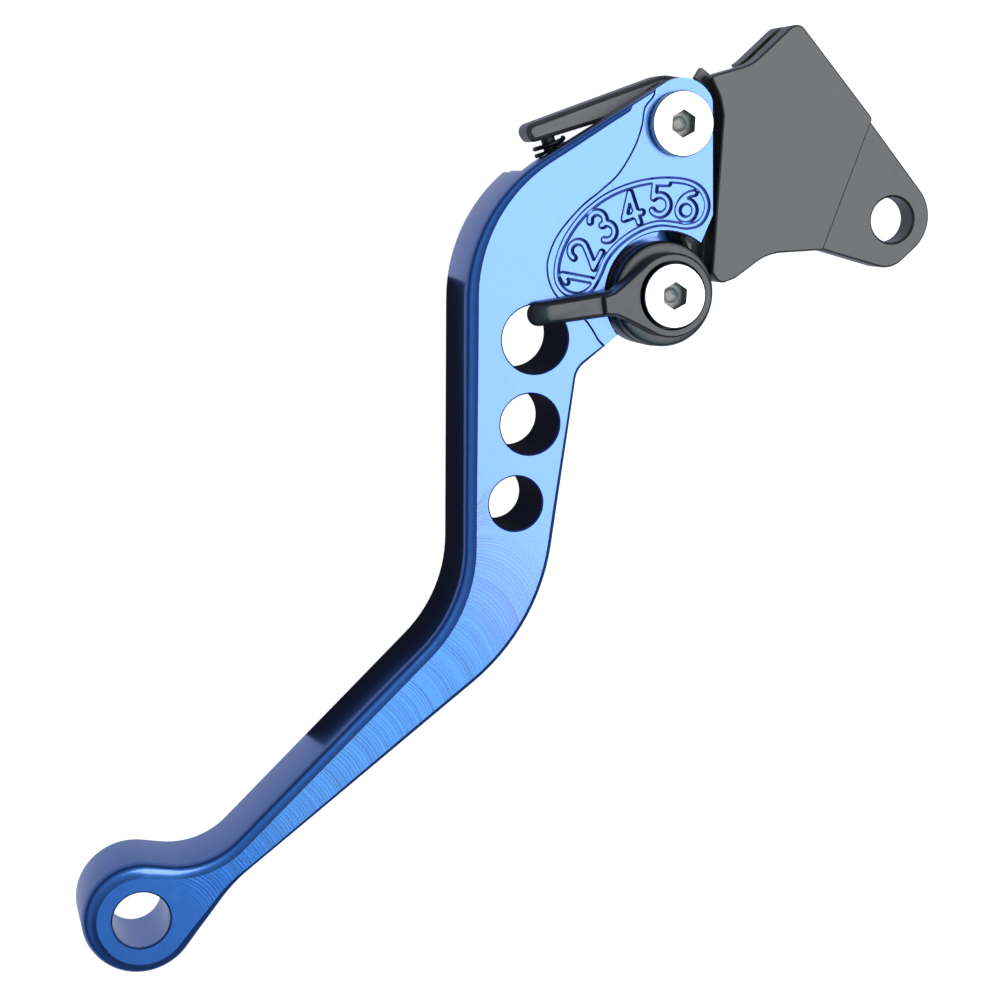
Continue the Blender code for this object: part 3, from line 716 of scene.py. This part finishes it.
def pointer():
    """The pointer: a bar with a flat top and sloping sides and end."""
    rings = []
    for end, half, root, radius, level in POINTER_RINGS:
        line = [(POINTER_ROOT, -root)]
        for sign, first in ((-1, -90), (1, 0)):
            turns = [radians(first + 90 * k / POINTER_STEPS) for k in range(POINTER_STEPS + 1)]
            line += [(end + radius * (cos(a) - 1), sign * (half - radius) + radius * sin(a)) for a in turns]
        line.append((POINTER_ROOT, root))
        rings.append([(p.x, p.y, level) for p in beside_pointer(line)])
    return loft("pointer", rings)


def dial(surface):
    """The dial with its hub and pointer; the bore is cut before the pointer is joined."""
    base = SLOT_TOP + DIAL_GAP
    rim = [(DIAL_RADIUS - inwards, FACE_TOP - down) for inwards, down in DIAL_EDGE]
    made = turned("dial_draft", ADJUSTER, [(0, FACE_TOP), *rim, (DIAL_RADIUS, base), (0, base)])
    combine(made, slab("hub", hub_outline(), FACE_TOP - OVERLAP, HUB_TOP, (0, HUB_EDGE)), 'UNION')
    combine(made, drill("dial_bore", ADJUSTER, CAM_BORE, base - CLEAR, HUB_TOP + CLEAR))
    combine(made, drill("head_room", ADJUSTER, HUB_COUNTERBORE, FACE_TOP + HEAD_ROOM, HUB_TOP + CLEAR))
    combine(made, pointer(), 'UNION')
    start, end, half = TIP_RELIEF
    relief = beside_pointer([(start, -half), (end, -half), (end, half), (start, half)])
    combine(made, prism("tip_relief", relief, FACE_TOP, TIP_RELIEF_TOP))
    return finished(made, "dial_body", "dial", "dial_black", surface, "adjuster_dial")


# ---- fasteners and spring ----------------------------------------------------------------

def socket_screw(node, head_height, surface):
    """A low-head socket screw with a hexagon socket, a drill point under it and a threaded end."""
    centre = centre_of(node)
    end, top = levels_of(node)
    under = top - head_height
    profile = [(0, top), (HEAD_RADIUS - HEAD_EDGE, top), (HEAD_RADIUS, top - HEAD_EDGE),
               (HEAD_RADIUS, under), (SHANK, under)]
    level = end + THREAD_START
    while level > end + THREAD_END:
        profile += [(SHANK, level), (THREAD_ROOT, level - 0.45), (THREAD_ROOT, level - 0.55)]
        level -= THREAD_PITCH
    profile += [(SHANK, end + END_EDGE), (SHANK - END_EDGE, end), (0, end)]
    made = turned(node + "_draft", centre, profile)
    corner = HEX_ACROSS_FLATS / sqrt(3)
    combine(made, prism("socket", circle(centre, corner, 6, HEX_TURN), top - SOCKET_DEPTH, top + CLEAR))
    shoulder, point = [top - depth for depth in POINT_DEPTHS]
    combine(made, turned("drill_point", centre, [(0, shoulder), (POINT_RADIUS, shoulder), (0, point)]))
    return finished(around(made, centre, top), node + "_detail", "blade", "stainless", surface, node)


def hex_nut(node, surface):
    """A thin nut: a hexagon with its corners turned down on both faces and a threaded bore."""
    centre = centre_of(node)
    bottom, top = levels_of(node)
    made = prism(node + "_draft", circle(centre, NUT_ACROSS_FLATS / sqrt(3), 6), bottom, top)
    corners = [(NUT_ACROSS_FLATS / 2 + out, inwards) for out, inwards in NUT_CORNERS]
    turned_down = [(0, top), *((r, top - inwards) for r, inwards in corners),
                   *((r, bottom + inwards) for r, inwards in corners[::-1]), (0, bottom)]
    combine(made, turned("corners", centre, turned_down), 'INTERSECT')
    combine(made, drill("thread", centre, SCREW_BORE, bottom, top, NUT_BORE_EDGE, NUT_BORE_EDGE))
    return finished(around(made, centre), node + "_detail", "blade", "stainless", surface, node)


def spring(surface):
    """The return spring, a helix of round wire with closed ends."""
    axis = Vector((*SPRING_DIRECTION, 0))
    side = Vector((0, 0, 1)).cross(axis)
    start = Vector((*SPRING_SEAT, MIDDLE))
    steps = int(SPRING_TURNS * SPRING_STEPS)
    ends, ends_share = SPRING_CLOSED
    centres = []
    for k in range(steps + 1):
        share = k / steps
        turns = SPRING_TURNS * share
        eased = np.interp(turns, [0, ends, SPRING_TURNS - ends, SPRING_TURNS],
                          [0, ends_share, 1 - ends_share, 1])
        rise = SPRING_RANGE[0] + (SPRING_RANGE[1] - SPRING_RANGE[0]) * eased
        angle = 2 * pi * turns
        out = side * cos(angle) + Vector((0, 0, 1)) * sin(angle)
        centres.append((start + axis * rise + out * SPRING_RADIUS, out))
    vertices, faces = [], []
    for centre, out in centres:
        for k in range(WIRE_SIDES):
            angle = 2 * pi * k / WIRE_SIDES
            vertices.append(centre + (out * cos(angle) + axis * sin(angle)) * SPRING_WIRE)
    for i in range(steps):
        for k in range(WIRE_SIDES):
            n = (k + 1) % WIRE_SIDES
            a, b = i * WIRE_SIDES, (i + 1) * WIRE_SIDES
            faces.append((a + k, a + n, b + n, b + k))
    faces.append(tuple(range(WIRE_SIDES)))
    faces.append(tuple(range(steps * WIRE_SIDES, (steps + 1) * WIRE_SIDES))[::-1])
    made = object_from("spring_draft", [tuple(v) for v in vertices], faces)
    finished(made, "return_spring_coil", "adapter", "spring_steel", surface, "return_spring", sharp=40)
    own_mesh(made)
    return made


# ---- materials ---------------------------------------------------------------------------

class Surface:
    """A procedural material; its methods add nodes and return their output sockets."""

    def __init__(self, name, colour, metallic, roughness, **constants):
        self.material = bpy.data.materials.new(name)
        self.material.use_nodes = True
        self.tree = self.material.node_tree
        self.shader = self.tree.nodes["Principled BSDF"]
        self.set("Base Color", (*colour, 1.0))
        self.set("Metallic", metallic)
        self.set("Roughness", roughness)
        for key, value in constants.items():
            self.set(key.replace("_", " "), value)
        self.place = self.node("ShaderNodeTexCoord").outputs["Object"]

    def set(self, socket, value):
        self.shader.inputs[socket].default_value = value

    def node(self, kind, inputs=None, **settings):
        made = self.tree.nodes.new(kind)
        for key, value in settings.items():
            setattr(made, key, value)
        for key, value in (inputs or {}).items():
            if isinstance(value, bpy.types.NodeSocket):
                self.tree.links.new(value, made.inputs[key])
            else:
                made.inputs[key].default_value = value
        return made

    def math(self, operation, first, second=0.0, third=0.0):
        inputs = {0: first, 1: second, 2: third}
        return self.node("ShaderNodeMath", inputs, operation=operation).outputs[0]

    def split(self, vector):
        """The three parts of a vector."""
        return self.node("ShaderNodeSeparateXYZ", {0: vector}).outputs

    def millimetres(self):
        """The three parts of the place, in millimetres."""
        return [self.math('DIVIDE', part, MM) for part in self.split(self.place)]

    def upward(self):
        """How far the surface faces up, from -1 to 1."""
        return self.split(self.node("ShaderNodeTexCoord").outputs["Normal"])[2]

    def squares(self, operation, first, second):
        """The sum or difference of two squares."""
        return self.math(operation, self.math('MULTIPLY', first, first),
                         self.math('MULTIPLY', second, second))

    def noise(self, scale, detail=4.0, vector=None):
        made = self.node("ShaderNodeTexNoise", {
            "Vector": vector or self.place, "Scale": scale, "Detail": detail, "Roughness": 0.55})
        return made.outputs["Fac"]

    def stretched(self, x, y, z):
        """The place scaled along each axis, for streaks."""
        made = self.node("ShaderNodeMapping", {"Vector": self.place, "Scale": (x, y, z)})
        return made.outputs["Vector"]

    def noise_line(self, along, scale, detail=2.0):
        """Noise along one number."""
        made = self.node("ShaderNodeTexNoise", {"W": along, "Scale": scale, "Detail": detail},
                         noise_dimensions='1D')
        return made.outputs["Fac"]

    def spread(self, value, low, high, to_low=0.0, to_high=1.0):
        """A value's range mapped to another, clamped."""
        made = self.node("ShaderNodeMapRange", {
            "Value": value, "From Min": low, "From Max": high, "To Min": to_low, "To Max": to_high})
        return made.outputs["Result"]

    def blend(self, share, first, second):
        made = self.node("ShaderNodeMix", data_type='RGBA')
        for index, value in ((0, share), (6, first), (7, second)):
            if isinstance(value, bpy.types.NodeSocket):
                self.tree.links.new(value, made.inputs[index])
            else:
                made.inputs[index].default_value = (*value, 1.0) if isinstance(value, tuple) else value
        return made.outputs[2]

    def bump(self, height, strength, distance, normal=None):
        inputs = {"Height": height, "Strength": strength, "Distance": distance * MM}
        if normal:
            inputs["Normal"] = normal
        return self.node("ShaderNodeBump", inputs).outputs["Normal"]

    def link(self, value, socket):
        self.tree.links.new(value, self.shader.inputs[socket])


def cutter_marks(made):
    """Curved milling marks on the lower half of the blade's face, as a height from 0 to 1."""
    x, y, _ = made.millimetres()
    wander = made.noise(35.0, 1.0)
    radius = made.spread(x, -165.0, -90.0, 8.5, 14.0)
    middle = made.spread(x, -110.0, -88.0, -3.6, 0.5)
    inside = made.squares('SUBTRACT', radius, made.math('SUBTRACT', y, middle))
    bulge = made.math('SQRT', made.math('MAXIMUM', inside, 0.5))
    phase = made.math('SUBTRACT', x, bulge)
    phase = made.math('ADD', phase, made.math('MULTIPLY', wander, 0.8))
    uneven = made.noise_line(phase, 0.9, 2.0)
    turns = made.math('ADD', made.math('MULTIPLY', phase, 2 * pi / MARK_PITCH),
                      made.math('MULTIPLY', uneven, 9.0))
    wave = made.math('MULTIPLY_ADD', made.math('SINE', turns), 0.5, 0.5)
    fine = made.noise_line(phase, 4.5, 1.0)
    coarse = made.noise_line(phase, 0.45, 2.0)
    lines = made.math('ADD', made.math('MULTIPLY', wave, 0.5), made.spread(fine, 0.42, 0.66, 0.0, 0.6))
    lines = made.math('MULTIPLY', lines, made.spread(coarse, 0.35, 0.62, 0.35, 1.0))
    flat = made.spread(made.upward(), 0.985, 0.995)
    region = made.math('MULTIPLY', made.spread(x, -84.0, -96.0), made.spread(x, -171.0, -165.0))
    return lines, made.math('MULTIPLY', flat, region)


def painted_groove_shade(made):
    """Painted shade: a mask that darkens the walls of the numbered field's grooves."""
    x, y, z = made.millimetres()
    radius = made.math('SQRT', made.squares('ADD', made.math('SUBTRACT', x, FIELD_CENTRE[0]),
                                            made.math('SUBTRACT', y, FIELD_CENTRE[1])))
    place = made.math('MULTIPLY', made.spread(radius, *ENGRAVED_FROM), made.spread(radius, *ENGRAVED_TO))
    groove_floor = FIELD_FLOOR - GROOVE_DEPTH
    level = made.math('MULTIPLY', made.spread(z, FIELD_FLOOR + 0.01, FIELD_FLOOR - 0.06),
                      made.spread(z, groove_floor - 0.2, groove_floor - 0.1))
    return made.math('MULTIPLY', made.math('MULTIPLY', place, level), made.spread(made.upward(), 0.97, 0.85))


def anodised_blue():
    """The blade's satin blue anodising with its milling marks."""
    made = Surface("anodised_blue", (0.03, 0.15, 0.50), 1.0, 0.30, Coat_Weight=1.0, Coat_Roughness=0.15,
                   Coat_IOR=1.9)
    lines, where = cutter_marks(made)
    marks = made.math('MULTIPLY', lines, where)
    mottle = made.noise(900.0, 5.0)
    tint = made.blend(made.spread(mottle, 0.3, 0.7), (0.028, 0.145, 0.48), (0.034, 0.16, 0.53))
    tint = made.blend(made.math('MULTIPLY', marks, 0.8), tint, (0.002, 0.088, 0.40))
    # Painted shade: the walls of the engraved lines darkened to deep blue
    tint = made.blend(made.math('MULTIPLY', painted_groove_shade(made), 0.85), tint, (0.002, 0.045, 0.24))
    made.link(tint, "Base Color")
    scratches = made.noise(700.0, 3.0, vector=made.stretched(1.0, 0.06, 1.0))
    rough = made.math('ADD', made.spread(mottle, 0.2, 0.8, 0.27, 0.35),
                      made.spread(scratches, 0.55, 0.75, 0.0, 0.05))
    made.link(made.math('ADD', rough, made.math('MULTIPLY', marks, 0.08)), "Roughness")
    grain = made.bump(made.noise(5200.0, 3.0), 0.10, 0.02)
    waves = made.bump(made.noise(130.0, 1.0), 0.25, 0.05, grain)
    made.link(made.bump(marks, 0.8, 0.06, waves), "Normal")
    return made.material


def anodised_black(name, shade):
    """Slightly warm black anodising, blasted dull."""
    made = Surface(name, (shade, shade, shade), 0.0, 0.32, Specular_IOR_Level=0.70)
    mottle = made.noise(600.0, 5.0)
    low, high = [tuple(shade * part for part in row) for row in ((1.0, 0.74, 0.56), (1.6, 1.2, 0.9))]
    made.link(made.blend(made.spread(mottle, 0.3, 0.7), low, high), "Base Color")
    made.link(made.spread(mottle, 0.25, 0.75, 0.27, 0.38), "Roughness")
    grain = made.bump(made.noise(6000.0, 4.0), 0.16, 0.03)
    made.link(made.bump(made.noise(220.0, 2.0), 0.2, 0.05, grain), "Normal")
    return made.material


def turned_metal(name, colour, side_shade_colour, roughness):
    """A screw's metal, with fine turning rings about the piece's own origin.

    The socket and the thread's roots get painted shade, and the head's side gets painted shade in a colour
    of its own.
    """
    made = Surface(name, colour, 1.0, roughness)
    x, y, z = made.split(made.place)
    radius = made.math('DIVIDE', made.math('SQRT', made.squares('ADD', x, y)), TURNING_PITCH * MM)
    rings = made.noise_line(radius, 1.0, 3.0)
    mottle = made.noise(800.0, 4.0)
    dark = tuple(c * 0.80 for c in colour)
    face = made.blend(made.spread(rings, 0.35, 0.65), dark, colour)
    # Painted shade: darker metal in the hex socket and at the thread's roots
    sunk_painted_shade = made.math('MULTIPLY', made.spread(z, -0.00004, -0.0001), made.spread(radius, 24.0, 23.0))
    inside = made.blend(made.spread(mottle, 0.3, 0.7), (0.19, 0.17, 0.15), (0.38, 0.35, 0.32))
    rim = HEAD_RADIUS / TURNING_PITCH
    # Painted shade: the side of the head takes the side colour
    side = made.math('MULTIPLY', made.spread(z, -0.0001, -0.0002), made.spread(radius, rim - 1.5, rim - 0.5))
    made.link(made.blend(side, made.blend(sunk_painted_shade, face, inside), side_shade_colour), "Base Color")
    made.link(made.math('ADD', made.spread(mottle, 0.25, 0.75, roughness * 0.8, roughness * 1.3),
                        made.math('MULTIPLY', sunk_painted_shade, 0.25)), "Roughness")
    made.link(made.bump(rings, 0.25, 0.01), "Normal")
    return made.material


def rubbed_metal(name, colour, roughness, metallic=1.0):
    """Metal or plastic with fine streaks and mottling, for small plain pieces."""
    made = Surface(name, colour, metallic, roughness)
    streaks = made.noise(2500.0, 3.0, vector=made.stretched(0.2, 1.0, 1.0))
    mottle = made.noise(900.0, 4.0)
    dark = tuple(c * 0.75 for c in colour)
    made.link(made.blend(made.spread(mottle, 0.3, 0.7), dark, colour), "Base Color")
    made.link(made.spread(streaks, 0.3, 0.7, roughness * 0.8, roughness * 1.25), "Roughness")
    made.link(made.bump(streaks, 0.15, 0.02), "Normal")
    return made.material


# ---- scene -------------------------------------------------------------------------------

def camera():
    """The photograph's viewing angle, fitted to it."""
    data = bpy.data.cameras.new("camera")
    data.lens = 72.0
    data.sensor_width = 36.0
    data.clip_start = 0.01
    made = bpy.data.objects.new("camera", data)
    turn = Matrix((CAMERA_RIGHT, CAMERA_UP, CAMERA_BACK)).transposed().to_4x4()
    made.matrix_world = Matrix.Translation(Vector(CAMERA_PLACE) * MM) @ turn
    bpy.context.scene.collection.objects.link(made)
    bpy.context.scene.camera = made


def sheet(name, corners, level, surface):
    """A flat level piece of the studio."""
    mesh = bpy.data.meshes.new(name)
    mesh.from_pydata([(x, y, level) for x, y in corners], [], [tuple(range(len(corners)))])
    mesh.materials.append(surface.material)
    made = bpy.data.objects.new(name, mesh)
    bpy.context.scene.collection.objects.link(made)
    return made


def floor():
    """A pale floor that glows a little and doesn't show in reflections."""
    surface = Surface("pale_floor", (0.35, 0.35, 0.35), 0.0, 0.9)
    surface.set("Emission Color", (1.0, 1.0, 1.0, 1.0))
    surface.set("Emission Strength", 0.97)
    reach = FLOOR_REACH
    corners = [(-reach, -reach), (reach, -reach), (reach, reach), (-reach, reach)]
    sheet("floor", corners, CAD_BOX[0].z - FLOOR_GAP, surface).visible_glossy = False


def softbox(name, place, target, size, power, colour=(1.0, 1.0, 1.0)):
    """A rectangular studio light aimed at a point."""
    data = bpy.data.lights.new(name, 'AREA')
    data.shape = 'RECTANGLE'
    data.size, data.size_y = size
    data.energy = power
    data.color = colour
    made = bpy.data.objects.new(name, data)
    made.location = place
    made.rotation_euler = (Vector(target) - Vector(place)).to_track_quat('-Z', 'Y').to_euler()
    bpy.context.scene.collection.objects.link(made)


def world():
    """Sky of the studio: bluish above, dark at the horizon, warm pale below."""
    made = bpy.data.worlds.new("studio")
    made.use_nodes = True
    tree = made.node_tree
    place = tree.nodes.new("ShaderNodeTexCoord").outputs["Generated"]
    up = tree.nodes.new("ShaderNodeSeparateXYZ")
    tree.links.new(place, up.inputs[0])
    ramp = tree.nodes.new("ShaderNodeValToRGB")
    shift = tree.nodes.new("ShaderNodeMapRange")
    shift.inputs["From Min"].default_value = -1.0
    tree.links.new(up.outputs["Z"], shift.inputs["Value"])
    tree.links.new(shift.outputs["Result"], ramp.inputs["Fac"])
    stops = ramp.color_ramp.elements
    for position, _ in SKY[1:-1]:
        stops.new(position)
    for stop, (position, colour) in zip(stops, SKY):
        stop.position, stop.color = position, (*colour, 1)
    tree.links.new(ramp.outputs["Color"], tree.nodes["Background"].inputs["Color"])
    bpy.context.scene.world = made


def flag():
    """A dark card below the floor that shows only in the blade's side walls."""
    surface = Surface("dark_card", (0.012, 0.008, 0.010), 0.0, 0.9)
    corners = [(x * MM, y * MM) for x, y in CARD]
    sheet("flag", corners, CAD_BOX[0].z - CARD_GAP, surface).visible_camera = False


def dress(nodes, surface):
    """Give carried-over CAD nodes their finished material."""
    for name in nodes:
        data = frame["nodes"][name].data
        data.materials.clear()
        data.materials.append(surface)


for old in [o for o in bpy.data.objects if o.type in {'LIGHT', 'CAMERA'}]:
    bpy.data.objects.remove(old)

camera()
floor()
world()
flag()
softbox("key", (0.235, -0.11, 0.52), (0.235, -0.11, 0.0), (0.60, 0.60), 3.2)
softbox("blue_fill", (-0.135, -0.11, 0.52), (-0.135, -0.11, 0.0), (0.14, 0.60), 0.44, (0.45, 0.92, 1.0))
bpy.context.scene.view_settings.view_transform = 'Standard'

blue = anodised_blue()
black = anodised_black("anodised_black", 0.028)
dial_black = anodised_black("dial_black", 0.011)
# Both screws' head sides get painted shade, slight on the pivot screw and near black on the adjuster screw
steel = turned_metal("turned_stainless", STAINLESS, (0.56, 0.53, 0.49), 0.22)
painted_shade_sided = turned_metal("dark_sided_stainless", STAINLESS, (0.02, 0.02, 0.022), 0.22)
nut_steel = rubbed_metal("rubbed_stainless", STAINLESS, 0.28)
bronze = rubbed_metal("bearing_bronze", (0.60, 0.38, 0.16), 0.38)
nylon = rubbed_metal("black_nylon", (0.025, 0.025, 0.025), 0.55, 0.0)
wire = rubbed_metal("spring_wire", (0.045, 0.04, 0.035), 0.35)
blackened = rubbed_metal("blackened_steel", (0.012, 0.012, 0.012), 0.5, 0.0)

blade(blue)
adapter(black)
dial(dial_black)
socket_screw("pivot_screw", 2.7, steel)
socket_screw("adjuster_screw", 3.6, painted_shade_sided)
hex_nut("pivot_nut", nut_steel)
hex_nut("adjuster_nut", nut_steel)
spring(wire)
dress(["adjuster_cam"], dial_black)
dress(["pivot_sleeve", "pivot_nut_washer", "adjuster_nut_washer", "drive_pin_1", "drive_pin_2"], nut_steel)
dress(["pivot_bush"], bronze)
dress(["pivot_washer_top", "pivot_washer_bottom", "adjuster_cam_washer"], nylon)
dress(["spring_guide_pin", "adjuster_wave_washer", "adjuster_sleeve"], blackened)
